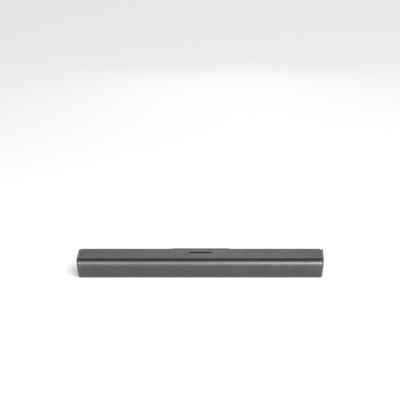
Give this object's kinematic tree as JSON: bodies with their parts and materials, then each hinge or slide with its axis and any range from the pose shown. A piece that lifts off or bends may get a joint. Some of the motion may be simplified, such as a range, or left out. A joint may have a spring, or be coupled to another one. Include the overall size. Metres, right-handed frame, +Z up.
{
  "type": "soundbar",
  "caption": "Long low soundbar with a perforated wrap-round grille, flat top with a recessed key strip, and a connector bay at the back.",
  "frame": {"origin": "under the middle of the whole bar, on the surface its feet stand on", "axes": "+X along the bar to the right seen from the front, +Y to the back, +Z up; the grille faces -Y"},
  "size_m": [0.8, 0.1106, 0.066],
  "materials": {
    "panel": "fine moulded texture, dark grey",
    "grille": "perforated steel sheet, satin metallic dark grey paint",
    "cap": "moulded ABS with satin metallic grey paint",
    "shell": "moulded texture, near black",
    "base": "moulded texture, grey",
    "jack_panel": "fine moulded texture, black",
    "gloss": "polished black",
    "key": "soft satin black",
    "rubber": "matt black",
    "surround": "matt black",
    "board": "green solder mask over glass laminate",
    "steel": "zinc plated",
    "black_steel": "black coat",
    "aluminium": "as extruded",
    "magnet": "sintered ferrite",
    "paper": "coated paper pulp",
    "socket": "moulded black",
    "winding": "wound coil under yellow tape",
    "sleeve": "printed-free shrink sleeve",
    "cable": "black jacket",
    "smoked": "smoked lens"
  },
  "bodies": {
    "cabinet": {"top_panel": "panel", "front_grille": "grille", "end_cap_left": "cap", "end_cap_right": "cap", "bottom_shell": "base", "rear_cover": "shell", "jack_panel": "jack_panel", "front_baffle": "shell", "chamber_wall_left": "shell", "chamber_wall_right": "shell", "keyhole_plate_left": "steel", "keyhole_plate_right": "steel", "foot_front_left": "rubber", "foot_rear_left": "rubber", "foot_front_right": "rubber", "foot_rear_right": "rubber", "base_screw_front_left": "black_steel", "base_screw_rear_left": "black_steel", "base_screw_front_right": "black_steel", "base_screw_rear_right": "black_steel", "control_bezel": "gloss", "button_board": "board", "main_board": "board", "power_board": "board", "transformer": "winding", "mains_capacitor": "sleeve", "amplifier_heat_sink": "aluminium", "wireless_module": "steel", "display_module": "smoked", "infrared_receiver": "gloss", "socket_hdmi_in": "socket", "socket_hdmi_arc": "socket", "socket_usb": "socket", "socket_optical": "socket", "socket_aux": "socket", "mains_inlet": "socket", "speaker_lead_left": "cable", "speaker_lead_right": "cable", "button_ribbon": "cable", "basket_left_outer": "black_steel", "magnet_left_outer": "magnet", "surround_left_outer": "surround", "basket_left_inner": "black_steel", "magnet_left_inner": "magnet", "surround_left_inner": "surround", "basket_right_inner": "black_steel", "magnet_right_inner": "magnet", "surround_right_inner": "surround", "basket_right_outer": "black_steel", "magnet_right_outer": "magnet", "surround_right_outer": "surround"},
    "button_power": {"button_power": "key"},
    "button_source": {"button_source": "key"},
    "button_volume_down": {"button_volume_down": "key"},
    "button_volume_up": {"button_volume_up": "key"},
    "button_play": {"button_play": "key"},
    "cone_left_outer": {"cone_left_outer": "paper"},
    "cone_left_inner": {"cone_left_inner": "paper"},
    "cone_right_inner": {"cone_right_inner": "paper"},
    "cone_right_outer": {"cone_right_outer": "paper"}
  },
  "joints": [
    {"name": "press_power", "type": "slide", "parent": "cabinet", "child": "button_power", "axis": [0, 0, -1], "range_m": [0, 0.0006], "stiffness_N_per_m": 1500, "springref_m": -0.0003},
    {"name": "press_source", "type": "slide", "parent": "cabinet", "child": "button_source", "axis": [0, 0, -1], "range_m": [0, 0.0006], "stiffness_N_per_m": 1500, "springref_m": -0.0003},
    {"name": "press_volume_down", "type": "slide", "parent": "cabinet", "child": "button_volume_down", "axis": [0, 0, -1], "range_m": [0, 0.0006], "stiffness_N_per_m": 1500, "springref_m": -0.0003},
    {"name": "press_volume_up", "type": "slide", "parent": "cabinet", "child": "button_volume_up", "axis": [0, 0, -1], "range_m": [0, 0.0006], "stiffness_N_per_m": 1500, "springref_m": -0.0003},
    {"name": "press_play", "type": "slide", "parent": "cabinet", "child": "button_play", "axis": [0, 0, -1], "range_m": [0, 0.0006], "stiffness_N_per_m": 1500, "springref_m": -0.0003},
    {"name": "stroke_left_outer", "type": "slide", "parent": "cabinet", "child": "cone_left_outer", "axis": [0, -1, 0], "range_m": [-0.002, 0.002], "stiffness_N_per_m": 1500, "deforming": ["surround_left_outer"]},
    {"name": "stroke_left_inner", "type": "slide", "parent": "cabinet", "child": "cone_left_inner", "axis": [0, -1, 0], "range_m": [-0.002, 0.002], "stiffness_N_per_m": 1500, "deforming": ["surround_left_inner"]},
    {"name": "stroke_right_inner", "type": "slide", "parent": "cabinet", "child": "cone_right_inner", "axis": [0, -1, 0], "range_m": [-0.002, 0.002], "stiffness_N_per_m": 1500, "deforming": ["surround_right_inner"]},
    {"name": "stroke_right_outer", "type": "slide", "parent": "cabinet", "child": "cone_right_outer", "axis": [0, -1, 0], "range_m": [-0.002, 0.002], "stiffness_N_per_m": 1500, "deforming": ["surround_right_outer"]}
  ]
}
